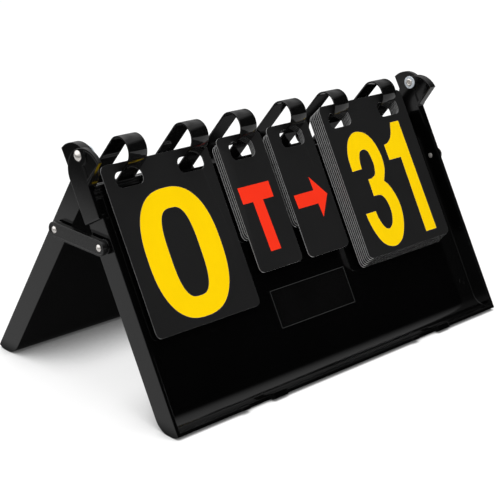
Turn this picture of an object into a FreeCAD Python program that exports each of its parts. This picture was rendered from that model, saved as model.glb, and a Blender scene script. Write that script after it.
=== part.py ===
"""A table scoreboard: two hinged plastic trays stand as an A-frame and carry flip cards on strip rings.

X runs across the board, Y from the front to the back and Z up, in millimetres.
Each tray is drawn upright with its hinge axis at the origin, its rim at the front and its foot below,
and is then leaned to its place in the A-frame.
"""
import FreeCAD
import Part
import math
import os

# Stance
lean_angle = 30.35
half_turn = 180

# Tray moulding
tray_width = 380.0
leg_length = 215.0
tray_depth = 18.4
wall = 2.8
foot_radius = 17.5
web_clearance = 0.57516028
rail_height = 5.5
rail_end = 188.6
ribbed_rail_height = 10.0
ribbed_rail_start = 8.0
ribbed_rail_end = 75.0
rib_radius = 0.75
rib_drops = (0.9, 2.9, 5.2, 8.6)
step_below_web = 15.0
web_step_relief = 0.4
foot_flat = 0.3

# Straps and ears
outer_strap_thickness = 3.2
ear_gap = 0.2
inner_strap_thickness = 7.0
jog_height = 3.0
jog_round = 1.4
taper_below_web = 6.0
taper_round = 5.0
ear_radius = 20.6
ear_centre = 15.6
ear_corner_down = 12.0
ear_back_centre = 13.0
ear_back_radius = 18.0
ear_root = 22.5
ear_rim = 2.0
ear_pocket = 1.0
ear_hub_radius = 8.4
strap_shoulder = 1.0

# Pivot rivets and washers
head_slopes = 2
pivot_shank_radius = 2.5
running_clearance = 0.05
pivot_head_radius = 4.15
pivot_head_height = 2.2
washer_radius = 5.5
washer_thickness = 1.0
rolled_end_radius = 3.3
rolled_end_height = 0.9
rolled_end_bore = 1.4
rolled_end_bore_depth = 3.0

# Stays
stay_below_step = 20.5
stay_in = 9.2
boss_radius = 5.2
boss_height = 1.8
stay_gap = 0.1
stay_thickness = 4.3
stay_radius = 6.1
stay_border = 1.4
stay_recess = 0.7
stay_rivet_radius = 1.6
stay_head_radius = 2.8
stay_head_height = 1.4
stay_tail_radius = 2.3
stay_tail_height = 0.8

# Latches in the bottom lips
latch_starts = (64.0, 265.0)
latch_hook_length = 8.0
latch_hook_height = 1.6
latch_hook_depth = 1.4
latch_relief_end = 34.0
latch_relief_depth = 2.6
latch_slot_start = 22.5
latch_slot_front = 4.2
latch_slot_back = 9.4
latch_boss_end = 49.0
latch_boss_back = 7.0
latch_boss_in = 4.2
latch_boss_proud = 0.8
latch_boss_proud_back = 2.4
latch_boss_floor = 2.2
latch_boss_groove = 2.4
latch_groove_width = 0.8

# Strip rings
ring_centres = (46.0, 108.5, 161.0, 219.0, 271.5, 334.0)
ring_lean = 37.5
ring_lobe_back = 2.66
ring_lobe_down = 5.2
ring_outer_radius = 12.2
ring_strip = 1.5
ring_width = 17.5
ring_past_cradle = 1.0
cradle_over_web = 6.0
cradle_length = 8.0
cradle_cheek = 1.6
cradle_lip = 0.9
cradle_clearance = 0.08
cradle_embed = 0.84

# Cards
card_thickness = 0.8
card_corner = 5.0
hole_width = 26.0
hole_corner = 5.0
hang_slope_share = 0.9993249268
hang_ease = 0.0019024475
hang_slack = 1.3
stack_slack = 1.7
leaf_gap = 0.5
leaf_thickness = 1.0

score_card_width = 107.2
score_card_short = 80.2
side_card_width = 48.8
side_card_short = 22.6
set_card_short = 33.0

left_card_left = 20.6
left_card_top = 9.6
left_card_depth = 12.0
left_card_hole_bottom = 29.0
left_card_holes = (44.4, 106.7)

timeout_left = 134.8
timeout_top = 9.3
side_card_depth = 8.0
timeout_hole_bottom = 29.8
timeout_hole = 159.0

arrow_left = 191.0
arrow_top = 9.6
arrow_hole_bottom = 29.8
arrow_hole = 217.0

set_leaves = 3
left_set_left = 134.2
left_set_top = 12.6
left_set_hole = 159.0
left_set_hole_bottom = 30.6
right_set_left = 190.4
right_set_top = 13.6
right_set_hole = 217.0
right_set_hole_bottom = 31.2
set_fan = 0.8

right_card_left = 249.0
right_card_top = 4.0
right_card_depth = 0.0
right_card_hole_bottom = 24.6
right_card_holes = (269.9, 333.2)
right_leaves = 6
right_fan_across = 4.2
right_fan_down = 4.6
right_hole_share = 0.2

flipped_leaves = 2
flipped_hang = 7.6
flipped_tilt = 5.0
flipped_hole_height = 11.5
flipped_seat = 0.3

# Bare label plate
plate_width = 88.7
plate_height = 32.6
plate_over_foot = 28.9
plate_left = 142.9
plate_thickness = 0.5
plate_corner = 1.5

# Worked-out sizes
middle = tray_width / 2
lean = math.radians(lean_angle)
web_front = tray_depth - wall
web_top = tray_depth / math.tan(lean) + web_clearance
rail_top = web_top - rail_height
ribbed_rail_top = web_top - ribbed_rail_height
rib_depths = [ribbed_rail_top + drop for drop in rib_drops]
web_step = web_top + step_below_web
taper_start = web_top + taper_below_web
stay_down = web_step + stay_below_step
cradle_start = web_top - cradle_over_web
cradle_end = cradle_start + cradle_length
ring_leg = cradle_end + ring_past_cradle
foot_straight = tray_depth - foot_radius
foot_reach = foot_radius - foot_flat
pivot_height = (leg_length - foot_radius) * math.cos(lean) + foot_straight * math.sin(lean) + foot_reach
outer_strap_inside = middle + ear_gap
outer_strap_face = outer_strap_inside + outer_strap_thickness
inner_strap_inside = middle - inner_strap_thickness
boss_face = middle + boss_height
stay_inside = boss_face + stay_gap
stay_face = stay_inside + stay_thickness
ring_inner_radius = ring_outer_radius - ring_strip
leaf_pitch = leaf_thickness + leaf_gap
first_leaf = card_thickness + leaf_gap
score_card_height = leg_length - score_card_short
side_card_height = score_card_height - side_card_short
set_card_height = side_card_height - set_card_short
plate_top = leg_length - foot_radius - plate_height - plate_over_foot
x_axis = FreeCAD.Vector(1, 0, 0)
y_axis = FreeCAD.Vector(0, 1, 0)
z_axis = FreeCAD.Vector(0, 0, 1)


def at(x, down, depth):
    """A point of the upright tray: across, down the leg from the hinge, and in from the rim."""
    return FreeCAD.Vector(x, depth, -down)


def across(x):
    """An x from the left side of the case, as one from its middle."""
    return x - middle


def rounded_face(corners, place):
    """The flat face inside a polygon whose corners carry radii. A place function lays it in space."""
    edges = []
    ends = []
    count = len(corners)
    for i in range(count):
        u, v, radius = corners[i]
        before = corners[i - 1]
        after = corners[(i + 1) % count]
        if radius == 0:
            ends.append(((u, v), (u, v), (u, v)))
            continue
        au, av = before[0] - u, before[1] - v
        bu, bv = after[0] - u, after[1] - v
        al = math.hypot(au, av)
        bl = math.hypot(bu, bv)
        au, av, bu, bv = au / al, av / al, bu / bl, bv / bl
        half = math.acos(au * bu + av * bv) / 2
        run = radius / math.tan(half)
        su, sv = au + bu, av + bv
        sl = math.hypot(su, sv)
        reach = radius / math.sin(half)
        cu, cv = u + su / sl * reach, v + sv / sl * reach
        start = (u + au * run, v + av * run)
        end = (u + bu * run, v + bv * run)
        mid = (cu - su / sl * radius, cv - sv / sl * radius)
        ends.append((start, mid, end))
    for i in range(count):
        start, mid, end = ends[i]
        if start != end:
            edges.append(Part.Arc(place(*start), place(*mid), place(*end)).toShape())
        following = ends[(i + 1) % count][0]
        if math.hypot(following[0] - end[0], following[1] - end[1]) > running_clearance / 100:
            edges.append(Part.LineSegment(place(*end), place(*following)).toShape())
    return Part.Face(Part.Wire(Part.__sortEdges__(edges)))


def side_plate(corners, x_from, x_to):
    """A plate parallel to the side walls, its corners given as down, depth and radius."""
    face = rounded_face(corners, lambda down, depth: at(x_from, down, depth))
    return face.extrude(x_axis * (x_to - x_from))


def front_plate(corners, depth_from, depth_to):
    """A plate parallel to the web, its corners given as x, down and radius."""
    face = rounded_face(corners, lambda x, down: at(x, down, depth_from))
    return face.extrude(y_axis * (depth_to - depth_from))


def block(x_from, x_to, down_from, down_to, depth_from, depth_to):
    corner = at(x_from, down_to, depth_from)
    return Part.makeBox(x_to - x_from, depth_to - depth_from, down_to - down_from, corner)


def cross_pin(radius, x_from, x_to, down, depth):
    return Part.makeCylinder(radius, x_to - x_from, at(x_from, down, depth), x_axis)


def domed_head(radius, height, x_face, down, depth):
    """A low crowned rivet head standing to the right from a face, turned in three slopes."""
    sphere_radius = (radius * radius + height * height) / (2 * height)
    drop = sphere_radius - height
    head = None
    for step in range(head_slopes):
        low = height * step / head_slopes
        high = height * (step + 1) / head_slopes
        wide = math.sqrt(sphere_radius ** 2 - (drop + low) ** 2)
        narrow = math.sqrt(sphere_radius ** 2 - (drop + (low + high) / 2) ** 2)
        slope = Part.makeCone(wide, narrow, high - low, at(x_face + low, down, depth), x_axis)
        head = slope if head is None else head.fuse(slope)
    return head


def ear_plate(x_from, x_to, inset, bottom):
    """A strap with its ear between two x values, drawn smaller all round by the inset."""
    radius = ear_radius - inset
    back = tray_depth - inset
    back_radius = ear_back_radius - inset
    corner_angle = math.asin((ear_centre - ear_corner_down) / ear_radius)
    shoulder_angle = (half_turn / 4) * math.pi / half_turn
    top = at(x_from, ear_centre - radius, 0)
    first = at(x_from, ear_back_centre, back)
    shoulder_down = ear_back_centre - back_radius * math.sin(shoulder_angle)
    shoulder = at(x_from, shoulder_down, back - back_radius + back_radius * math.cos(shoulder_angle))
    crown_down = ear_centre - radius * math.cos(shoulder_angle)
    crown = at(x_from, crown_down, -radius * math.sin(shoulder_angle))
    corner_down = ear_centre - radius * math.sin(corner_angle)
    corner = at(x_from, corner_down, -radius * math.cos(corner_angle))
    root = at(x_from, ear_root - inset, inset)
    foot_front = at(x_from, bottom, inset)
    foot_back = at(x_from, bottom, back)
    edges = [
        Part.Arc(first, shoulder, top).toShape(),
        Part.Arc(top, crown, corner).toShape(),
        Part.LineSegment(corner, root).toShape(),
        Part.LineSegment(root, foot_front).toShape(),
        Part.LineSegment(foot_front, foot_back).toShape(),
        Part.LineSegment(foot_back, first).toShape(),
    ]
    return Part.Face(Part.Wire(edges)).extrude(x_axis * (x_to - x_from))


def ear_pocket_tool(x_from, x_to):
    """The shallow dish in an ear between its rim, its strap and its hub."""
    dish = ear_plate(x_from, x_to, ear_rim, web_step)
    back = block(x_from, x_to, -ear_radius, web_step, -strap_shoulder, tray_depth)
    hub = cross_pin(ear_hub_radius, x_from, x_to, 0, 0)
    return dish.cut(back).cut(hub)


def latch(tray, start):
    """One latch in the bottom lip: a small hook, a thinned stretch, a slot and a boss with a groove."""
    left = across(start)
    lip_inside = leg_length - wall
    hook = block(left, left + latch_hook_length, lip_inside - latch_hook_height, leg_length, 0, latch_hook_depth)
    hook_toe = block(left, left + latch_hook_length, lip_inside, leg_length, -latch_hook_depth, 0)
    boss_left = left + latch_relief_end
    boss_right = left + latch_boss_end
    boss_top = leg_length - latch_boss_in
    boss_floor = leg_length - latch_boss_floor
    boss = block(boss_left, boss_right, boss_top, boss_floor, -latch_boss_proud, latch_boss_back)
    toe = block(boss_left, boss_right, boss_floor, leg_length + latch_boss_proud, -latch_boss_proud, latch_boss_proud_back)
    relief = block(left + latch_hook_length, boss_left, lip_inside, leg_length + wall, -wall, latch_relief_depth)
    slot = block(left + latch_slot_start, boss_left, lip_inside - wall, leg_length + wall, latch_slot_front, latch_slot_back)
    groove_from = latch_boss_groove
    groove_to = latch_boss_groove + latch_groove_width
    groove = block(boss_left + wall, boss_right - wall, boss_top, boss_top + latch_groove_width, groove_from, groove_to)
    shape = tray.fuse([hook, hook_toe]).cut(relief)
    shape = shape.fuse([boss, toe]).cut(slot)
    return shape.cut(groove)


def tray_moulding():
    """One tray, upright, its outer strap at the left and its inner strap at the right."""
    section = [
        (web_top, web_front, 0),
        (web_top, tray_depth, 0),
        (leg_length, tray_depth, foot_radius),
        (leg_length, 0, 0),
        (leg_length - wall, 0, 0),
        (leg_length - wall, web_front, foot_radius - wall),
    ]
    shell = side_plate(section, -middle, middle)
    side = [
        (web_step - jog_height / 2, 0, 0),
        (web_step - jog_height / 2, tray_depth, 0),
        (leg_length, tray_depth, foot_radius),
        (leg_length, 0, 0),
    ]
    left_wall = side_plate(side, -middle, wall - middle)
    right_wall = side_plate(side, middle - wall, middle)
    outer = ear_plate(-outer_strap_face, -outer_strap_inside, 0, web_step)
    outer = outer.cut(ear_pocket_tool(-outer_strap_face, ear_pocket - outer_strap_face))
    inner = ear_plate(inner_strap_inside, middle, 0, taper_start)
    inner = inner.cut(ear_pocket_tool(inner_strap_inside, inner_strap_inside + ear_pocket))
    jog_from = web_step - jog_height / 2
    jog_to = jog_from + jog_height
    step = [
        (-outer_strap_face, jog_from, 0),
        (-outer_strap_face, jog_to, jog_round),
        (wall - middle, jog_to, 0),
        (wall - middle, jog_from, 0),
    ]
    jog = front_plate(step, 0, tray_depth)
    flare = [
        (middle, web_top, 0),
        (inner_strap_inside, web_top, 0),
        (inner_strap_inside, taper_start, taper_round),
        (middle - wall, jog_to, 0),
        (middle, jog_to, 0),
    ]
    taper = front_plate(flare, 0, tray_depth)
    high_rail = block(across(ribbed_rail_start), across(ribbed_rail_end), ribbed_rail_top, web_step, web_front, tray_depth)
    low_rail = block(across(ribbed_rail_end), across(rail_end), rail_top, web_step, web_front, tray_depth)
    shape = shell.fuse([left_wall, right_wall, outer, inner, jog, taper, high_rail, low_rail])
    ribs = []
    for down in rib_depths:
        ribs.append(cross_pin(rib_radius, across(ribbed_rail_start), across(ribbed_rail_end), down, web_front))
    shape = shape.fuse(ribs)
    relief_from = wall - middle
    relief_to = inner_strap_inside
    relief = block(relief_from, relief_to, rib_depths[-1] + 2 * rib_radius, web_step, web_front, web_front + web_step_relief)
    shape = shape.cut(relief)
    bosses = []
    holes = []
    for turn in (-1, 1):
        face_from = min(turn * boss_face, turn * (middle - wall))
        face_to = max(turn * boss_face, turn * (middle - wall))
        bosses.append(cross_pin(boss_radius, face_from, face_to, stay_down, stay_in))
        hole_radius = stay_rivet_radius + running_clearance
        holes.append(cross_pin(hole_radius, face_from, face_to, stay_down, stay_in))
    shape = shape.fuse(bosses)
    pivot_hole = pivot_shank_radius + running_clearance
    holes.append(cross_pin(pivot_hole, -outer_strap_face, outer_strap_face, 0, 0))
    shape = shape.cut(Part.makeCompound(holes))
    for start in latch_starts:
        shape = latch(shape, start)
    return shape.removeSplitter()


def on_feet(tray):
    """A leaned tray with the narrow flat that it rests on, along its rounded foot."""
    corner = FreeCAD.Vector(-tray_width, -leg_length, -leg_length)
    ground = Part.makeBox(tray_width * 2, leg_length * 2, leg_length, corner)
    return tray.cut(ground)


front_place = FreeCAD.Placement(FreeCAD.Vector(0, 0, pivot_height), FreeCAD.Rotation(x_axis, -lean_angle))
rear_place = FreeCAD.Placement(FreeCAD.Vector(0, 0, 0), FreeCAD.Rotation(z_axis, half_turn)) * front_place


def placed(shape, placement):
    copy = shape.copy()
    copy.Placement = placement * copy.Placement
    return copy


def mirrored(shape):
    """A piece of the right side, made into the left side's."""
    return shape.mirror(FreeCAD.Vector(0, 0, 0), x_axis)


def pivot_rivet():
    """The right rivet through a pair of ears: a domed head outside and a rolled hollow end inside."""
    tail_face = inner_strap_inside - washer_thickness
    end_face = tail_face - rolled_end_height
    head = domed_head(pivot_head_radius, pivot_head_height, outer_strap_face, 0, 0)
    shank = cross_pin(pivot_shank_radius, tail_face, outer_strap_face, 0, 0)
    roll = cross_pin(rolled_end_radius, end_face, tail_face, 0, 0)
    bore = cross_pin(rolled_end_bore, end_face, end_face + rolled_end_bore_depth, 0, 0)
    return head.fuse([shank, roll]).cut(bore)


def pivot_washer():
    face = inner_strap_inside - washer_thickness
    disc = cross_pin(washer_radius, face, inner_strap_inside, 0, 0)
    return disc.cut(cross_pin(pivot_shank_radius + running_clearance, face, inner_strap_inside, 0, 0))


stay_front = placed(Part.Vertex(at(0, stay_down, stay_in)), front_place).Point
stay_rear = placed(Part.Vertex(at(0, stay_down, stay_in)), rear_place).Point


def stay_link():
    """The right link: straight with round ends and a raised border, on the outside of the walls."""
    length = stay_rear.y - stay_front.y

    def outline(radius):
        return [
            (stay_front.y - radius, stay_front.z - radius, radius),
            (stay_front.y + length + radius, stay_front.z - radius, radius),
            (stay_front.y + length + radius, stay_front.z + radius, radius),
            (stay_front.y - radius, stay_front.z + radius, radius),
        ]

    link = rounded_face(outline(stay_radius), lambda y, z: FreeCAD.Vector(stay_inside, y, z))
    link = link.extrude(x_axis * stay_thickness)
    floor = stay_face - stay_recess
    dish = rounded_face(outline(stay_radius - stay_border), lambda y, z: FreeCAD.Vector(floor, y, z))
    link = link.cut(dish.extrude(x_axis * stay_recess))
    for end in (stay_front, stay_rear):
        start = FreeCAD.Vector(stay_inside, end.y, end.z)
        link = link.cut(Part.makeCylinder(stay_rivet_radius + running_clearance, stay_thickness, start, x_axis))
    return link


def stay_fastener(end, through):
    """A small domed rivet at one end of a stay; a through rivet also has a tail inside the wall."""
    seat = stay_face - stay_recess
    stop = middle - wall if through else stay_inside
    local = domed_head(stay_head_radius, stay_head_height, seat, 0, 0)
    pieces = [cross_pin(stay_rivet_radius, stop, seat, 0, 0)]
    if through:
        pieces.append(cross_pin(stay_tail_radius, stop - stay_tail_height, stop, 0, 0))
    local = local.fuse(pieces)
    local.translate(FreeCAD.Vector(0, end.y, end.z))
    return local


ring_slant = math.radians(ring_lean)
ring_run = FreeCAD.Vector(0, math.sin(ring_slant), -math.cos(ring_slant))
ring_face = FreeCAD.Vector(0, -math.cos(ring_slant), -math.sin(ring_slant))
ring_start = FreeCAD.Vector(0, ring_lobe_back, pivot_height - ring_lobe_down)


def ring_point(x, run, out):
    """A point of a ring: across, down along its legs, and out from its middle to the lower leg."""
    return ring_start + x_axis * x + ring_run * run + ring_face * out


def ring_slab(x_from, x_to, run_from, run_to, out_from, out_to, radius):
    corners = [
        (run_from, out_from, radius),
        (run_to, out_from, radius),
        (run_to, out_to, radius),
        (run_from, out_to, radius),
    ]
    face = rounded_face(corners, lambda run, out: ring_point(x_from, run, out))
    return face.extrude(x_axis * (x_to - x_from))


def card_strip_line():
    """Where the strip under the cards crosses the rim plane, and how far it drops for each step in from it."""
    tilt = math.pi / 2 - lean - ring_slant
    middle_point = placed(Part.Vertex(ring_start), front_place.inverse()).Point
    start = -middle_point.z - middle_point.y * math.tan(tilt) + ring_inner_radius / math.cos(tilt)
    return start - hang_ease, math.tan(tilt) * hang_slope_share


def strip_ring(x):
    """One ring bent from flat strip into a long loop."""
    left = x - ring_width / 2
    right = x + ring_width / 2
    outer = ring_slab(left, right, -ring_outer_radius, ring_leg + ring_outer_radius,
                      -ring_outer_radius, ring_outer_radius, ring_outer_radius)
    inner = ring_slab(left, right, -ring_inner_radius, ring_leg + ring_inner_radius,
                      -ring_inner_radius, ring_inner_radius, ring_inner_radius)
    return outer.cut(inner)


def cradle_root():
    """How far out from a ring's middle the rear web lies at the cradles' lower ends, and a little in."""
    low = placed(Part.Vertex(ring_point(0, cradle_end, 0)), rear_place.inverse()).Point
    return (web_front + cradle_embed - low.y) / math.cos(ring_slant - lean)


def cradle(x):
    """A moulded clip on the rear web that holds one ring's lower leg."""
    half = ring_width / 2 + cradle_clearance
    body = ring_slab(x - half - cradle_cheek, x + half + cradle_cheek, cradle_start, cradle_end,
                     ring_inner_radius - cradle_lip, cradle_root(), 0)
    slot = ring_slab(x - half, x + half, cradle_start - wall, cradle_end + wall,
                     ring_inner_radius - cradle_clearance, ring_outer_radius + cradle_clearance, 0)
    mouth = ring_slab(x - half + cradle_lip, x + half - cradle_lip, cradle_start - wall, cradle_end + wall,
                      ring_inner_radius - 2 * cradle_lip, ring_inner_radius, 0)
    return body.cut(slot).cut(mouth)


def card(left, top, width, height, depth, holes, hole_top, hole_bottom, thickness):
    """One sheet with rounded corners and long holes near its top edge."""
    right = left + width
    bottom = top + height
    sheet = front_plate([
        (left, top, card_corner),
        (right, top, card_corner),
        (right, bottom, card_corner),
        (left, bottom, card_corner),
    ], depth, depth + thickness)
    hole_radius = min(hole_corner, (hole_bottom - hole_top) / 2)
    for hole in holes:
        cut = front_plate([
            (hole - hole_width / 2, hole_top, hole_radius),
            (hole + hole_width / 2, hole_top, hole_radius),
            (hole + hole_width / 2, hole_bottom, hole_radius),
            (hole - hole_width / 2, hole_bottom, hole_radius),
        ], depth, depth + thickness)
        sheet = sheet.cut(cut)
    return sheet


def hung_card(left, top, width, height, depth, holes, hole_bottom, slack=hang_slack, thickness=card_thickness):
    """A sheet at the front, its holes opened just above the strip that it hangs on."""
    strip_start, strip_drop = card_strip_line()
    hole_top = strip_start + strip_drop * depth - slack
    centres = [across(hole) for hole in holes]
    return card(across(left), top, width, height, depth, centres, hole_top, hole_bottom, thickness)


def set_stack(left, top, hole, hole_bottom):
    """The set cards behind a side card: short sheets, a little fanned."""
    leaves = []
    for i in range(set_leaves):
        depth = side_card_depth + first_leaf + i * leaf_pitch
        slip = set_fan * i
        leaves.append(hung_card(left - slip, top + slip, side_card_width, set_card_height,
                                depth, [hole], hole_bottom + slip, stack_slack, leaf_thickness))
    return Part.makeCompound(leaves)


def right_stack():
    """The score cards behind the one on show, fanned to the left and down towards the back."""
    leaves = []
    for i in range(right_leaves):
        step_share = (i + 1) / right_leaves
        depth = right_card_depth + first_leaf + i * leaf_pitch
        slip = right_fan_across * step_share
        drop = right_fan_down * step_share
        holes = [hole - slip * right_hole_share for hole in right_card_holes]
        leaves.append(hung_card(right_card_left - slip, right_card_top + drop, score_card_width,
                                score_card_height, depth, holes, right_card_hole_bottom + drop,
                                stack_slack, leaf_thickness))
    return Part.makeCompound(leaves)


def flipped_stack():
    """The left score cards at the back. They hang in the rings' lower ends and lean on the rear web."""
    lobe = placed(Part.Vertex(ring_point(0, ring_leg, 0)), rear_place.inverse()).Point
    lobe_down = -lobe.z
    lobe_depth = lobe.y
    tilt = math.radians(flipped_tilt)
    leaves = []
    for i in range(flipped_leaves):
        offset = (i - (flipped_leaves - 1) / 2) * leaf_pitch
        edge = abs(offset) + leaf_thickness
        hang = math.sqrt(ring_inner_radius * ring_inner_radius - edge * edge) - flipped_seat
        depth = offset - leaf_thickness / 2
        holes = [across(hole) for hole in (ring_centres[0], ring_centres[1])]
        turned = [-hole for hole in holes]
        left = across(tray_width - left_card_left - score_card_width)
        leaves.append(card(left, hang - flipped_hang, score_card_width, score_card_height, depth,
                           turned, hang, hang + flipped_hole_height, leaf_thickness))
    stack = Part.makeCompound(leaves)
    stack.rotate(FreeCAD.Vector(0, 0, 0), x_axis, math.degrees(tilt))
    stack.translate(at(0, lobe_down, lobe_depth))
    return stack


def label_plate():
    left = across(plate_left)
    return front_plate([
        (left, plate_top, plate_corner),
        (left + plate_width, plate_top, plate_corner),
        (left + plate_width, plate_top + plate_height, plate_corner),
        (left, plate_top + plate_height, plate_corner),
    ], web_front - plate_thickness, web_front)


moulding = tray_moulding()
rear = on_feet(placed(moulding, rear_place))
cradles = [cradle(across(x)) for x in ring_centres]
rear = rear.fuse(cradles)

pieces = {
    "front_tray": on_feet(placed(moulding, front_place)),
    "rear_tray": rear,
    "label_plate": placed(label_plate(), front_place),
}
sides = {
    "pivot_rivet": placed(pivot_rivet(), front_place),
    "pivot_washer": placed(pivot_washer(), front_place),
    "stay": stay_link(),
    "stay_rivet": stay_fastener(stay_front, True),
    "stay_stud": stay_fastener(stay_rear, False),
}
for name, shape in sides.items():
    pieces[name + "_right"] = shape
    pieces[name + "_left"] = mirrored(shape)
for number, x in enumerate(ring_centres, 1):
    pieces["ring_%d" % number] = strip_ring(across(x))
pieces["left_score_card"] = placed(
    hung_card(left_card_left, left_card_top, score_card_width, score_card_height,
              left_card_depth, left_card_holes, left_card_hole_bottom), front_place)
pieces["left_flipped_cards"] = placed(flipped_stack(), rear_place)
pieces["timeout_card"] = placed(
    hung_card(timeout_left, timeout_top, side_card_width, side_card_height,
              side_card_depth, [timeout_hole], timeout_hole_bottom), front_place)
pieces["left_set_cards"] = placed(
    set_stack(left_set_left, left_set_top, left_set_hole, left_set_hole_bottom), front_place)
pieces["arrow_card"] = placed(
    hung_card(arrow_left, arrow_top, side_card_width, side_card_height,
              side_card_depth, [arrow_hole], arrow_hole_bottom), front_place)
pieces["right_set_cards"] = placed(
    set_stack(right_set_left, right_set_top, right_set_hole, right_set_hole_bottom), front_place)
pieces["right_score_card"] = placed(
    hung_card(right_card_left, right_card_top, score_card_width, score_card_height,
              right_card_depth, right_card_holes, right_card_hole_bottom), front_place)
pieces["right_score_cards"] = placed(right_stack(), front_place)

os.makedirs("parts", exist_ok=True)
for name, shape in pieces.items():
    shape.exportStep("parts/%s.step" % name)
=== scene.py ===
"""A table scoreboard in black plastic: finishes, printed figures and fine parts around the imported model."""
import math
import bmesh
import bpy
import numpy as np
from mathutils import Matrix, Vector


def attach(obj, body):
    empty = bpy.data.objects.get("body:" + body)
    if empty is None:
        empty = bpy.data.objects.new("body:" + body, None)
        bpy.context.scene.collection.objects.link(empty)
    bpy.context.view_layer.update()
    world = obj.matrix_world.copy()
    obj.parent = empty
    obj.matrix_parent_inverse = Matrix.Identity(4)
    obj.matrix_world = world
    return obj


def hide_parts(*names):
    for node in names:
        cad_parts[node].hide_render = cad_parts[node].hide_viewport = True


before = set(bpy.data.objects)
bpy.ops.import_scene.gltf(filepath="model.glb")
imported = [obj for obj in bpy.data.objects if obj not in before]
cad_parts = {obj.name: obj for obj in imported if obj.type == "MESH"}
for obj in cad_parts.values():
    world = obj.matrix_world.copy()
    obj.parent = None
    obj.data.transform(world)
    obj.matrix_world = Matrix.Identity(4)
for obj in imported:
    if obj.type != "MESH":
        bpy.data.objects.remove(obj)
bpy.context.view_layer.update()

MM = 0.001

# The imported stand: each half leans from the pivot line, and x is counted from the left side. All in mm.
LEAN = math.radians(30.35)
PIVOT_HEIGHT = 188.088353
MIDDLE = 190.0
DOWN = np.array([0.0, -math.sin(LEAN), -math.cos(LEAN)])
INWARD = np.array([0.0, math.cos(LEAN), -math.sin(LEAN)])
BACK_INWARD = INWARD * [1, -1, 1]


# Places on the trays

def front_points(x, down, depth):
    """Points of the front half: x from the left side, down the leg from the pivot, in from the rim.

    A point is the pivot, plus down times the leg's direction, plus depth times the direction
    square to it. They come in mm and go out in metres."""
    x, down, depth = np.broadcast_arrays(*(np.asarray(v, float) for v in (x, down, depth)))
    pivot = np.array([0.0, 0.0, PIVOT_HEIGHT])
    place = pivot + down[..., None] * DOWN + depth[..., None] * INWARD
    place[..., 0] += x - MIDDLE
    return place * MM


def rear_points(x, down, depth):
    """The same on the rear half: the front half turned half round, so x and y change sign."""
    return front_points(x, down, depth) * [-1, -1, 1]


# Sums on sockets

class Value:
    """A node socket that does sums with Python's operators, each sum adding its Math node."""

    def __init__(self, nodes, socket):
        self.nodes = nodes
        self.socket = socket

    def _sum(self, operation, *inputs):
        return self.nodes.node("ShaderNodeMath", {"operation": operation}, dict(enumerate(inputs)))

    def __add__(self, other):
        return self._sum("ADD", self, other)

    __radd__ = __add__

    def __mul__(self, other):
        return self._sum("MULTIPLY", self, other)

    __rmul__ = __mul__

    def __sub__(self, other):
        return self._sum("SUBTRACT", self, other)

    def __rsub__(self, other):
        return self._sum("SUBTRACT", other, self)

    def __lt__(self, other):
        return self._sum("LESS_THAN", self, other)

    def absolute(self):
        """The value without its sign."""
        return self._sum("ABSOLUTE", self)

    def spread(self, low, high, to_low=0.0, to_high=1.0):
        """The value stretched smoothly from one range to another and held within it."""
        settings = {"interpolation_type": "SMOOTHSTEP"}
        inputs = {0: self, 1: low, 2: high, 3: to_low, 4: to_high}
        return self.nodes.node("ShaderNodeMapRange", settings, inputs)


class Nodes:
    """A node tree whose nodes all come from one method."""

    def __init__(self, tree):
        self.tree = tree

    def node(self, kind, settings=None, inputs=None, out=0):
        """Any node: its type, its settings, and the values or links of its sockets."""
        made = self.tree.nodes.new(kind)
        for key, value in (settings or {}).items():
            setattr(made, key, value)
        for key, value in (inputs or {}).items():
            if isinstance(value, Value):
                self.tree.links.new(value.socket, made.inputs[key])
            else:
                made.inputs[key].default_value = value
        return Value(self, made.outputs[out]) if made.outputs else made

    def along(self, vector, direction):
        """How far a vector goes along a direction."""
        inputs = {0: vector, 1: direction}
        return self.node("ShaderNodeVectorMath", {"operation": "DOT_PRODUCT"}, inputs, "Value")


class Finish(Nodes):
    """One material: a Principled shader with noise, mixes and bumps joined to it."""

    def __init__(self, name, **constants):
        self.material = bpy.data.materials.new(name)
        self.material.use_nodes = True
        super().__init__(self.material.node_tree)
        self.shader = self.tree.nodes["Principled BSDF"]
        self.set(**constants)
        self.place = self.node("ShaderNodeTexCoord", out="Object")

    def set(self, **values):
        """Shader sockets by name, with spaces written as underscores."""
        for name, value in values.items():
            socket = self.shader.inputs[name.replace("_", " ")]
            if isinstance(value, Value):
                self.tree.links.new(value.socket, socket)
            else:
                socket.default_value = value

    def noise(self, scale, detail=3.0, stretch=(1, 1, 1)):
        """Cloudy noise from 0 to 1: its cells to the metre, its detail, and how many times finer it
        runs along x, y and z."""
        spot = self.node("ShaderNodeMapping", {}, {"Vector": self.place, "Scale": stretch})
        inputs = {"Vector": spot, "Scale": scale, "Detail": detail}
        return self.node("ShaderNodeTexNoise", {}, inputs, "Fac")

    def specks(self, spacing, size):
        """Sparse dots: the middles of cells, and only where a slow noise is high."""
        inputs = {"Vector": self.place, "Scale": 1 / spacing}
        cells = self.node("ShaderNodeTexVoronoi", {}, inputs, "Distance")
        return (cells < size) * self.noise(scale=40.0).spread(0.56, 0.64)

    def mix(self, factor, first, second):
        """One colour laid over another by a factor."""
        return self.node("ShaderNodeMix", {"data_type": "RGBA"}, {0: factor, 6: first, 7: second}, 2)

    def bump(self, height, strength, distance, edge=None):
        """A bumped normal, over edges that are rounded by shading where a radius is given."""
        inputs = {"Strength": strength, "Distance": distance, "Height": height}
        if edge:
            inputs["Normal"] = self.node("ShaderNodeBevel", {"samples": 6}, {"Radius": edge})
        self.set(Normal=self.node("ShaderNodeBump", {}, inputs, "Normal"))

    def side(self, direction):
        """How far a face looks along a direction of the object at rest, from -1 to 1."""
        return self.along(self.node("ShaderNodeTexCoord", out="Normal"), tuple(direction))


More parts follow.
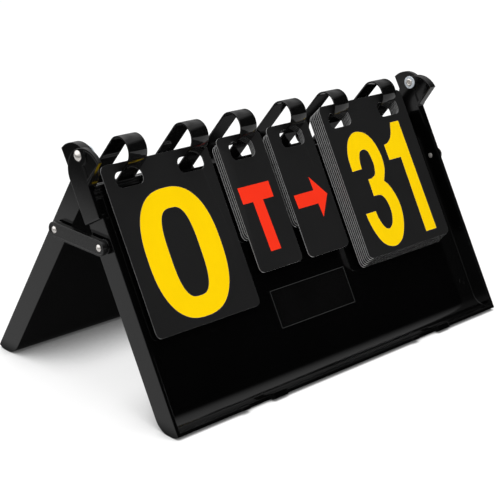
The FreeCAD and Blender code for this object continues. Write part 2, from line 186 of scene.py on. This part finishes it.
def grey(level, tint=(1.0, 1.0, 1.0)):
    """A grey with its alpha, pulled a little to a tint."""
    return tuple(level * t for t in tint) + (1.0,)


def tray_finish():
    """Black moulded plastic: polished, a little wavy, with flow marks, rubbed patches and some dust."""
    finish = Finish("black_moulded_plastic", IOR=1.5)
    cloud = finish.noise(scale=11.0)
    flow = finish.noise(scale=26.0, detail=4.0, stretch=(1.0, 0.16, 0.16))
    grain = finish.noise(scale=1500.0, detail=2.0)
    rubbed = finish.noise(scale=70.0, detail=5.0, stretch=(0.3, 1.0, 5.0)).spread(0.60, 0.80)
    dust = finish.specks(spacing=4.6 * MM, size=0.035)
    black = finish.mix(cloud, grey(0.0008), grey(0.0016, (1.0, 1.0, 1.05)))
    finish.set(Base_Color=finish.mix(dust, black, grey(0.16)))
    smears = cloud * 0.07 + flow * 0.05 + grain * 0.03 + rubbed * 0.09
    finish.set(Roughness=smears + dust * 0.3 + 0.05)
    waves = cloud * 1.5 + flow * 0.3 + grain * 0.02
    finish.bump(waves, strength=0.25, distance=0.5 * MM, edge=0.9 * MM)
    return finish.material


def stay_finish():
    """The links' satin black plastic, with a fine grain."""
    finish = Finish("satin_black_plastic", IOR=1.5)
    cloud = finish.noise(scale=45.0)
    grain = finish.noise(scale=1700.0, detail=2.0)
    finish.set(Base_Color=finish.mix(cloud, grey(0.004), grey(0.008)))
    finish.set(Roughness=cloud * 0.10 + grain * 0.06 + 0.20)
    finish.bump(grain, strength=0.15, distance=0.02 * MM)
    return finish.material


def ring_finish():
    """Glossy black strip with faint drawn lines along its length."""
    finish = Finish("glossy_black_strip", IOR=1.53)
    lines = finish.noise(scale=60.0, detail=2.0, stretch=(9.0, 0.3, 0.3))
    cloud = finish.noise(scale=26.0)
    finish.set(Base_Color=finish.mix(cloud, grey(0.0025), grey(0.0045)))
    finish.set(Roughness=lines * 0.03 + cloud * 0.05 + 0.03)
    finish.bump(lines * 0.01 + cloud, strength=0.15, distance=0.3 * MM)
    return finish.material


def card_finish(direction):
    """Matt black sheet: fine grain and faint scuffs on its faces, and pale grey where it was cut.

    The faces look along the direction. The cut edges that face down, at the foot, are the palest: painted
    light, standing in for light thrown up from the pale floor below."""
    finish = Finish("matt_black_sheet", IOR=1.45, Specular_IOR_Level=0.2)
    flat = finish.side(direction).absolute().spread(0.82, 0.97)
    cloud = finish.noise(scale=25.0)
    grain = finish.noise(scale=2200.0, detail=2.0)
    scuff = finish.noise(scale=55.0, detail=6.0, stretch=(1.0, 0.2, 0.2)).spread(0.62, 0.82)
    face = finish.mix(cloud, grey(0.0095, (1.0, 1.0, 1.03)), grey(0.0125))
    cut = finish.mix(finish.noise(scale=340.0), grey(0.16), grey(0.40))
    # Painted light: cut edges that face down get a pale grey (0.85) in place of light from the floor below.
    painted_underlight = finish.side(DOWN).spread(0.6, 0.9)
    finish.set(Base_Color=finish.mix(flat, finish.mix(painted_underlight, cut, grey(0.85)), face))
    finish.set(Roughness=cloud * 0.06 + grain * 0.10 - scuff * 0.08 + 0.46)
    finish.bump(grain, strength=0.12, distance=0.03 * MM)
    return finish.material


def plate_finish():
    """The bare plate's smooth black sheet."""
    finish = Finish("bare_plate_sheet", IOR=1.47)
    cloud = finish.noise(scale=40.0)
    grain = finish.noise(scale=1900.0, detail=2.0)
    finish.set(Base_Color=finish.mix(cloud, grey(0.002), grey(0.004)))
    finish.set(Roughness=cloud * 0.05 + grain * 0.03 + 0.08)
    finish.bump(grain, strength=0.06, distance=0.02 * MM)
    return finish.material


def print_and_highlight_finish(name, light, dark):
    """Screen-printed ink, and also a painted highlight: flat colour with a very slight unevenness and a soft
    sheen.
    """
    finish = Finish(name, IOR=1.45, Specular_IOR_Level=0.06)
    cloud = finish.noise(scale=55.0)
    grain = finish.noise(scale=2400.0, detail=2.0)
    finish.set(Base_Color=finish.mix(cloud, light, dark))
    finish.set(Roughness=cloud * 0.10 + grain * 0.06 + 0.46)
    finish.bump(grain, strength=0.08, distance=0.02 * MM)
    return finish.material


def metal_finish(name, light, dark, rough, shine):
    """Plated steel, a little uneven, with fine scratches."""
    finish = Finish(name, Metallic=shine)
    cloud = finish.noise(scale=260.0)
    scratch = finish.noise(scale=900.0, stretch=(1.0, 0.15, 1.0))
    finish.set(Base_Color=finish.mix(cloud, light, dark))
    finish.set(Roughness=cloud * 0.08 + scratch * 0.10 + rough)
    finish.bump(scratch * 0.3 + cloud, strength=0.2, distance=0.06 * MM)
    return finish.material


tray_black = tray_finish()
stay_black = stay_finish()
ring_black = ring_finish()
front_card_black = card_finish(INWARD)
rear_card_black = card_finish(BACK_INWARD)
plate_black = plate_finish()
rivet_steel = metal_finish("plated_rivet", light=grey(0.86, (1.0, 0.96, 0.92)),
                           dark=grey(0.70, (1.0, 0.95, 0.9)), rough=0.06, shine=0.7)
zinc = metal_finish("zinc_washer", light=grey(0.84, (0.93, 1.0, 1.06)),
                    dark=grey(0.66, (0.92, 1.0, 1.08)), rough=0.25, shine=0.25)
yellow = print_and_highlight_finish("yellow_ink", light=(1.0, 0.665, 0.0, 1), dark=(0.96, 0.62, 0.0, 1))
red = print_and_highlight_finish("red_ink", light=(0.95, 0.037, 0.012, 1), dark=(0.90, 0.032, 0.010, 1))
blue = print_and_highlight_finish("dark_blue_ink", light=(0.022, 0.024, 0.085, 1), dark=(0.014, 0.016, 0.06, 1))
# Painted highlight: this pale grey stands in for light caught along the plate's edge.
plate_highlight_ink = print_and_highlight_finish("painted_edge_highlight", light=grey(0.05), dark=grey(0.03))

STRIP_EDGE = 0.3 * MM
WASHER_EDGE = 0.15 * MM
PLATE_EDGE = 0.12 * MM
STACK_EDGE = 0.28 * MM
CARD_EDGE = 0.2 * MM
FACET_GAP = 1e-6
ROUNDED_ANGLE = 0.6


def dress(node, material, edge=0.0):
    """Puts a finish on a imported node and, where an edge radius is given, rounds its edges."""
    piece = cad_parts[node]
    piece.data.materials.clear()
    piece.data.materials.append(material)
    if edge:
        weld = piece.modifiers.new("joined_facets", "WELD")
        weld.merge_threshold = FACET_GAP
        bevel = piece.modifiers.new("eased_edges", "BEVEL")
        bevel.width = edge
        bevel.segments = 2
        bevel.limit_method = "ANGLE"
        bevel.angle_limit = ROUNDED_ANGLE
        bevel.harden_normals = True


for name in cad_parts:
    if name.endswith("_tray"):
        dress(name, tray_black)
    elif name.startswith("ring_"):
        dress(name, ring_black, STRIP_EDGE)
    elif name in ("stay_left", "stay_right"):
        dress(name, stay_black, STRIP_EDGE)
    elif name.startswith("pivot_washer"):
        dress(name, zinc, WASHER_EDGE)
    elif "rivet" in name or "stud" in name:
        dress(name, rivet_steel)
    elif name == "label_plate":
        dress(name, plate_black, PLATE_EDGE)
    elif name == "left_flipped_cards":
        dress(name, rear_card_black, STACK_EDGE)
    elif name in ("left_set_cards", "right_set_cards", "right_score_cards"):
        dress(name, front_card_black, STACK_EDGE)
    else:
        dress(name, front_card_black, CARD_EDGE)


# New pieces

def add_piece(name, points, faces, material, body, smooth=False):
    """A new piece from its points in metres, riding on a body and tied to a material slot."""
    mesh = bpy.data.meshes.new(name)
    mesh.from_pydata(points, [], faces)
    mesh.update()
    if smooth:
        mesh.shade_smooth()
    piece = bpy.data.objects.new(name, mesh)
    bpy.context.scene.collection.objects.link(piece)
    mesh.materials.append(material)
    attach(piece, body)
    return piece


def turned(name, profile, centre, turn, material, body, count=48):
    """A piece turned about an axis that runs across the board.

    A profile point (along, radius) at an angle a lies at x = along, y = radius times cos a and
    z = radius times sin a from the axis. The first and last points are poles on the axis, and a
    turn of -1 mirrors the piece to the left side."""
    along, radius = np.array(profile).T
    angle = np.linspace(0, 2 * np.pi, count, endpoint=False)
    ring = radius[1:-1, None]
    grid = np.stack(np.broadcast_arrays(turn * along[1:-1, None], ring * np.cos(angle),
                                        ring * np.sin(angle)), 2)
    poles = np.array([[turn * along[0], 0, 0], [turn * along[-1], 0, 0]])
    points = np.concatenate([grid.reshape(-1, 3), poles]) * MM + np.array([0, centre[1], centre[2]])
    rows = len(profile) - 2
    index = np.arange(rows * count).reshape(rows, count)
    after = np.roll(index, -1, 1)
    quads = np.stack([index[:-1], index[1:], after[1:], after[:-1]], 2).reshape(-1, 4)
    first = np.stack([np.full(count, rows * count), index[0], after[0]], 1)
    last = np.stack([np.full(count, rows * count + 1), after[-1], index[-1]], 1)
    faces = quads.tolist() + first.tolist() + last.tolist()
    if turn < 0:
        faces = [face[::-1] for face in faces]
    return add_piece(name, points.tolist(), faces, material, body, True)


def dome(face, radius, height, count=14):
    """A crown from its top to its rim: an arc that rises by the height over the radius.

    The arc's own radius is half of radius squared plus height squared, over the height."""
    sphere = (radius ** 2 + height ** 2) / (2 * height)
    angle = np.linspace(0, math.asin(radius / sphere), count)
    base = face + height - sphere
    return [(base + sphere * c, sphere * s) for c, s in zip(np.cos(angle), np.sin(angle))]


BORE_SHARES = ((0.7, 0.96), (0.9, 0.6), (1.0, 0.0))


def rolled(face, radius, bore, height, deep, count=10):
    """A hollow rivet's rolled end: half an ellipse from its rim over to its bore, then down the bore.

    The bore closes through the shares of its depth and of its radius."""
    angle = np.linspace(0, np.pi, count)
    middle = (radius + bore) / 2
    half = (radius - bore) / 2
    lip = [(face - height * s, middle + half * c) for c, s in zip(np.cos(angle), np.sin(angle))]
    return lip + [(face + deep * down, bore * out) for down, out in BORE_SHARES]


# Faces that the rivets bear on, as distances from the middle of the board
STRAP_FACE = 193.4
WASHER_FACE = 182.0
LINK_FACE = 195.5
LINK_INSIDE = 191.9
WALL_INSIDE = 187.2

# The rivets' axes, and their radii and heights
LINK_DOWN = 67.5
LINK_DEPTH = 9.2
PIVOT = front_points(MIDDLE, 0, 0)
LINK_FRONT = front_points(MIDDLE, LINK_DOWN, LINK_DEPTH)
LINK_REAR = rear_points(MIDDLE, LINK_DOWN, LINK_DEPTH)
PIVOT_HEAD = 4.15
PIVOT_CROWN = 1.95
PIVOT_RIM = 0.25
PIVOT_RIM_EASE = 0.1
PIVOT_SEAT = 4.0
PIVOT_SHANK = 2.5
ROLL_RADIUS = 3.3
ROLL_BORE = 1.4
ROLL_HEIGHT = 0.9
ROLL_DEPTH = 2.1
LINK_HEAD = 2.8
LINK_CROWN = 1.25
LINK_RIM = 0.15
LINK_SEAT = 2.75
LINK_SHANK = 1.6
TAIL_HEAD = 2.3
TAIL_CROWN = 0.7
TAIL_RIM = 0.1
TAIL_SEAT = 2.2

pivot_head = dome(STRAP_FACE + PIVOT_RIM, PIVOT_HEAD, PIVOT_CROWN)
pivot_profile = pivot_head + [
    (STRAP_FACE + PIVOT_RIM_EASE, PIVOT_HEAD), (STRAP_FACE, PIVOT_SEAT),
    (STRAP_FACE, PIVOT_SHANK), (WASHER_FACE, PIVOT_SHANK),
] + rolled(WASHER_FACE, ROLL_RADIUS, ROLL_BORE, ROLL_HEIGHT, ROLL_DEPTH)
link_head = dome(LINK_FACE + LINK_RIM, LINK_HEAD, LINK_CROWN) + [
    (LINK_FACE, LINK_SEAT), (LINK_FACE, LINK_SHANK)]
tail = [(2 * WALL_INSIDE - along, radius)
        for along, radius in reversed(dome(WALL_INSIDE + TAIL_RIM, TAIL_HEAD, TAIL_CROWN))]
link_profile = link_head + [(WALL_INSIDE, LINK_SHANK), (WALL_INSIDE, TAIL_SEAT)] + tail
stud_profile = link_head + [(LINK_INSIDE, LINK_SHANK), (LINK_INSIDE, 0.0)]


def rivet(name, profile, centre, turn, body, node):
    """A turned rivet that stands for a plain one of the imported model."""
    piece = turned(name, profile, centre, turn, rivet_steel, body)
    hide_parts(node)


for side, turn in (("left", -1), ("right", 1)):
    rivet(side + "_pivot_rivet_turned", pivot_profile, PIVOT, turn, "front_tray", "pivot_rivet_" + side)
    rivet(side + "_link_front_rivet", link_profile, LINK_FRONT, turn, "front_tray", "stay_rivet_" + side)
    rivet(side + "_link_rear_rivet", stud_profile, LINK_REAR, turn, "stay_" + side, "stay_stud_" + side)


# Printed figures: outlines in mm, across from the left side and down the leg from the pivot

def superoval(x, down, half_x, half_down, power, count=160):
    """A closed oval whose power sets how square its shoulders are.

    At an angle it lies at the middle plus each half size times the cosine or sine, raised to two
    over the power with its sign kept."""
    angle = np.linspace(0, 2 * np.pi, count, endpoint=False)
    c, s = np.cos(angle), np.sin(angle)
    return np.stack([x + half_x * np.sign(c) * np.abs(c) ** (2 / power),
                     down + half_down * np.sign(s) * np.abs(s) ** (2 / power)], 1)


def smooth_run(*points, steps=6):
    """A curve through points.

    Each span is the cubic whose end slopes are half the step between its neighbours."""
    p = np.array(points, float)
    p = np.concatenate([[2 * p[0] - p[1]], p, [2 * p[-1] - p[-2]]])
    a, b, c, d = p[:-3, None], p[1:-2, None], p[2:-1, None], p[3:, None]
    t = np.linspace(0, 1, steps, endpoint=False)[None, :, None]
    curve = b + 0.5 * t * (c - a + t * (2 * a - 5 * b + 4 * c - d + t * (3 * b - a - 3 * c + d)))
    return np.concatenate([curve.reshape(-1, 2), p[-2:-1]])


SHARPEST = 0.8
NEVER_ZERO = 1e-9


def grown(loop, amount):
    """A closed outline moved outward, each corner along the mean of its two sides' normals.

    The move is the amount over the cosine of half the corner's turn, and held at sharp corners."""
    before = loop - np.roll(loop, 1, 0)
    after = np.roll(loop, -1, 0) - loop
    before /= np.linalg.norm(before, axis=1, keepdims=True) + NEVER_ZERO
    after /= np.linalg.norm(after, axis=1, keepdims=True) + NEVER_ZERO
    total = (before + after)[:, ::-1] * [1, -1]
    square = (total ** 2).sum(1, keepdims=True)
    area = (loop[:, 0] * np.roll(loop[:, 1], -1) - np.roll(loop[:, 0], -1) * loop[:, 1]).sum()
    return loop + np.sign(area) * amount * 2 * total / np.maximum(square, SHARPEST)


def flat_mesh(loops):
    """Points and faces of the flat area inside closed outlines."""
    curve = bpy.data.curves.new("outline", "CURVE")
    curve.dimensions = "2D"
    curve.fill_mode = "FRONT"
    for loop in loops:
        spline = curve.splines.new("POLY")
        spline.points.add(len(loop) - 1)
        corners = np.column_stack([loop, np.zeros(len(loop)), np.ones(len(loop))])
        spline.points.foreach_set("co", corners.ravel())
        spline.use_cyclic_u = True
    carrier = bpy.data.objects.new("outline", curve)
    bpy.context.scene.collection.objects.link(carrier)
    bpy.context.view_layer.update()
    filled = bpy.data.meshes.new_from_object(carrier)
    points = np.zeros(len(filled.vertices) * 3)
    filled.vertices.foreach_get("co", points)
    faces = [tuple(p.vertices) for p in filled.polygons]
    bpy.data.objects.remove(carrier)
    bpy.data.curves.remove(curve)
    bpy.data.meshes.remove(filled)
    return points.reshape(-1, 3)[:, :2], faces


SUNK = 0.02
SAME_PLACE = 1e-7


def printed(name, loops, depth, proud, material, body):
    """A thin layer on a face: the filled outlines, raised by proud and sunk a hair into the face.

    Its back is the same area turned over, and a wall joins each rim edge to its copy."""
    flat, faces = flat_mesh(loops)
    count = len(flat)
    front = front_points(flat[:, 0], flat[:, 1], depth - proud)
    back = front_points(flat[:, 0], flat[:, 1], depth + SUNK)
    edges = set((a, b) for face in faces for a, b in zip(face, face[1:] + face[:1]))
    rim = [(a, b) for a, b in edges if (b, a) not in edges]
    shell = faces + [tuple(count + v for v in reversed(face)) for face in faces]
    shell += [(b, a, count + a, count + b) for a, b in sorted(rim)]
    piece = add_piece(name, np.concatenate([front, back]).tolist(), shell, material, body)
    work = bmesh.new()
    work.from_mesh(piece.data)
    bmesh.ops.remove_doubles(work, verts=work.verts, dist=SAME_PLACE)
    bmesh.ops.recalc_face_normals(work, faces=work.faces)
    work.to_mesh(piece.data)
    work.free()


ZERO_OUT = superoval(72.6, 87.5, 37.0, 51.3, 2.45)
ZERO_IN = superoval(72.5, 87.4, 15.3, 35.25, 2.95)
THREE = np.concatenate([
    smooth_run((263.5, 64), (264.5, 50), (270, 38.5), (277, 33), (284, 31.8), (293, 34.5), (300, 42),
               (303.5, 52), (304.3, 60), (303, 68), (300, 74), (297, 78.6)),
    smooth_run((297, 78.6), (301, 83), (305, 92), (306.6, 102), (305.5, 112), (301.5, 122), (296, 129.5),
               (290, 133.3), (283.5, 134.5), (276, 132.5), (270, 127.5), (265.5, 118.5), (263, 109),
               (262.2, 101.5))[1:],
    smooth_run((274.5, 101.5), (275.3, 108), (278, 115), (281, 118.3), (285, 118.8), (289.5, 115.5),
               (292.5, 109), (293.3, 102), (292, 95), (289, 90.5), (285, 89), (278.7, 88.8)),
    smooth_run((279, 73.8), (284, 73.5), (289, 71), (291.3, 65), (291.6, 60), (290.5, 52), (288, 48.9),
               (284.5, 48), (280, 49.3), (277.5, 53.5), (276, 58.5), (275.4, 63.8))])
ONE = np.concatenate([
    [(329.3, 31), (340.3, 31), (341.5, 131.2), (327.5, 131.2), (328, 62.5), (312.7, 62.5)],
    smooth_run((312.4, 48.6), (316.5, 48), (320.5, 46), (324.5, 42), (327, 37), (329.3, 31))[:-1]])
TIMEOUT = np.array([(140.3, 51.7), (174.8, 51.9), (175, 65.3), (162.7, 65.3), (164.3, 107), (152.8, 107),
                    (151.7, 65.3), (140.7, 65.3)])
ARROW = np.array([(196.6, 69.3), (220.2, 69.3), (219.8, 57.6), (234.3, 75), (221.6, 92.7), (220.6, 80.8),
                  (197.3, 80.8)])


# How deep each printed face lies, how far its layers stand proud of it, and how wide its lines are
LEFT_CARD_DEPTH = 12.0
MIDDLE_CARD_DEPTH = 8.0
RIGHT_CARD_DEPTH = 0.0
PLATE_DEPTH = 15.1
WEB_DEPTH = 15.6
EDGE_PROUD = 0.03
INK_PROUD = 0.06
HIGHLIGHT_PROUD = 0.02
MARK_PROUD = 0.3
EDGE_WIDTH = 0.4
HIGHLIGHT_WIDTH = 0.4
MARK_HALF_WIDTH = 0.3


def figure(name, loops, holes, depth, material, body):
    """A printed figure, and under a yellow one the thin dark line round it."""
    if material == yellow:
        around = [grown(loop, EDGE_WIDTH) for loop in loops] + [grown(loop, -EDGE_WIDTH) for loop in holes]
        printed(name + "_edge", around, depth, EDGE_PROUD, blue, body)
    printed(name, loops + holes, depth, INK_PROUD, material, body)


figure("figure_zero", [ZERO_OUT], [ZERO_IN], LEFT_CARD_DEPTH, yellow, "left_score_card")
figure("figure_timeout", [TIMEOUT], [], MIDDLE_CARD_DEPTH, red, "timeout_card")
figure("figure_arrow", [ARROW], [], MIDDLE_CARD_DEPTH, red, "arrow_card")
figure("figure_three", [THREE], [], RIGHT_CARD_DEPTH, yellow, "right_score_card")
figure("figure_one", [ONE], [], RIGHT_CARD_DEPTH, yellow, "right_score_card")

MARK_RADIUS = 2.9
MARK = superoval(368.0, 184.1, MARK_RADIUS, MARK_RADIUS, 2.0, 48)
printed("mould_mark", [grown(MARK, MARK_HALF_WIDTH), grown(MARK, -MARK_HALF_WIDTH)], WEB_DEPTH, MARK_PROUD,
        tray_black, "front_tray")
PLATE = np.array([(143.6, 136.7), (230.9, 136.7), (230.9, 167.9), (143.6, 167.9)])
# Painted highlight: a thin pale line round the plate's rim stands in for light caught on its edge.
printed("plate_edge_highlight", [PLATE, grown(PLATE, -HIGHLIGHT_WIDTH)], PLATE_DEPTH, HIGHLIGHT_PROUD,
        plate_highlight_ink, "front_tray")


# Camera, lights and floor

SENSOR_WIDTH = 36.0
PHOTO_WIDTH = 500
FOCAL_PIXELS = 1417.9
CAMERA_PLACE = (-0.80239, -0.77707, 0.47928)
CAMERA_YAW = 0.793
CAMERA_PITCH = 0.351
CAMERA_ROLL = 0.036


def look_matrix(place, yaw, pitch, roll):
    """The camera's frame from its place and its three angles: yaw to the right from +y, pitch down
    and roll to the left."""
    ahead = Vector((math.sin(yaw) * math.cos(pitch), math.cos(yaw) * math.cos(pitch), -math.sin(pitch)))
    right = Vector((math.cos(yaw), -math.sin(yaw), 0))
    above = right.cross(ahead)
    turned_right = math.cos(roll) * right + math.sin(roll) * above
    turned_up = math.cos(roll) * above - math.sin(roll) * right
    matrix = Matrix.Translation(place)
    for i in range(3):
        matrix[i][0], matrix[i][1], matrix[i][2] = turned_right[i], turned_up[i], -ahead[i]
    return matrix


camera_data = bpy.data.cameras.new("camera")
camera_data.sensor_width = SENSOR_WIDTH
camera_data.lens = FOCAL_PIXELS / PHOTO_WIDTH * SENSOR_WIDTH
camera = bpy.data.objects.new("camera", camera_data)
camera.matrix_world = look_matrix(CAMERA_PLACE, CAMERA_YAW, CAMERA_PITCH, CAMERA_ROLL)
bpy.context.scene.collection.objects.link(camera)
bpy.context.scene.camera = camera


TARGET = (0.0, 0.0, 0.1)


def lamp(name, place, width, height, power):
    """A soft panel in metres and watts, aimed at the board and unseen in its gloss."""
    data = bpy.data.lights.new(name, "AREA")
    data.shape = "RECTANGLE"
    data.size = width
    data.size_y = height
    data.energy = power
    piece = bpy.data.objects.new(name, data)
    piece.rotation_mode = "QUATERNION"
    piece.rotation_quaternion = (Vector(TARGET) - Vector(place)).to_track_quat("-Z", "Y")
    piece.location = place
    piece.visible_glossy = False
    bpy.context.scene.collection.objects.link(piece)


lamp("left_panel", place=(-1.5, -0.6, 1.1), width=1.2, height=1.2, power=11.0)
lamp("top_panel", place=(0.1, 0.2, 1.7), width=1.8, height=1.4, power=19.0)
lamp("front_panel", place=(-0.2, -1.9, 1.2), width=1.2, height=1.0, power=10.5)

FLOOR_REACH = 6.0

floor_pale = bpy.data.materials.new("pale_floor")
floor_pale.use_nodes = True
ground = Nodes(floor_pale.node_tree)
ground.tree.nodes.clear()
camera_ray = ground.node("ShaderNodeLightPath", out="Is Camera Ray")
glossy_ray = ground.node("ShaderNodeLightPath", out="Is Glossy Ray")
clear_ray = ground.node("ShaderNodeLightPath", out="Is Transmission Ray")
paper = ground.node("ShaderNodeBsdfDiffuse", {}, {"Color": grey(0.82)})
on_floor = ground.node("ShaderNodeTexCoord", out="Object")
from_left = ground.along(on_floor, (-1.0, 0.0, 0.0))
from_middle = ground.node("ShaderNodeVectorMath", {"operation": "LENGTH"}, {0: on_floor}, "Value")

# In gloss the floor is dark but for a pale strip beside each end of the board, so that the side
# walls mirror pale paper and the webs mirror black.
left_strip = from_left.spread(0.185, 0.205) * (1 - from_left.spread(0.42, 0.56))
right_strip = from_left.spread(-0.205, -0.185, 1.0, 0.0)
in_gloss = (left_strip + right_strip) * 0.58 + 0.02

# Seen straight it is white, and greyer close to what stands on it: a painted shadow, the glow dimmed by
# ambient occlusion.
painted_shadow_openness = ground.node("ShaderNodeAmbientOcclusion", {"samples": 8}, {"Distance": 0.07}, "AO")
seen_straight = painted_shadow_openness.spread(0.15, 0.85, 0.06, 1.0) * from_middle.spread(0.5, 2.5, 1.28, 1.45)
brightness = camera_ray * seen_straight + clear_ray + glossy_ray * in_gloss
share = camera_ray * 0.6 + clear_ray * 0.7 + glossy_ray * 0.96
glow = ground.node("ShaderNodeEmission", {}, {"Color": grey(1.0), "Strength": brightness})
surface = ground.node("ShaderNodeMixShader", {}, {0: share, 1: paper, 2: glow})
ground.node("ShaderNodeOutputMaterial", {}, {"Surface": surface})
floor_mesh = bpy.data.meshes.new("floor")
floor_corners = [(FLOOR_REACH * x, FLOOR_REACH * y, 0.0) for x, y in ((-1, -1), (1, -1), (1, 1), (-1, 1))]
floor_mesh.from_pydata(floor_corners, [], [(0, 1, 2, 3)])
floor_mesh.materials.append(floor_pale)
floor = bpy.data.objects.new("floor", floor_mesh)
bpy.context.scene.collection.objects.link(floor)

# The room: white to the camera, an even grey to matt surfaces, and in gloss a pale patch up behind
# the left that falls off to black.
world = bpy.data.worlds.new("studio")
bpy.context.scene.world = world
world.use_nodes = True
studio = Nodes(world.node_tree)
seen = studio.node("ShaderNodeLightPath", out="Is Camera Ray")
mirrored = studio.node("ShaderNodeLightPath", out="Is Glossy Ray")
toward = studio.node("ShaderNodeTexCoord", out="Generated")
height = studio.along(toward, (-0.5, 0.6, 1.0))
sky = height.spread(-0.05, 0.5, 0.0, 0.55) + height.spread(0.6, 1.0, 0.0, 1.0)
strength = seen + (1 - seen) * (mirrored * sky + (1 - mirrored) * 0.34)
background = studio.tree.nodes["Background"]
background.inputs["Color"].default_value = grey(1.0)
studio.tree.links.new(strength.socket, background.inputs["Strength"])

bpy.context.scene.view_settings.view_transform = "Standard"
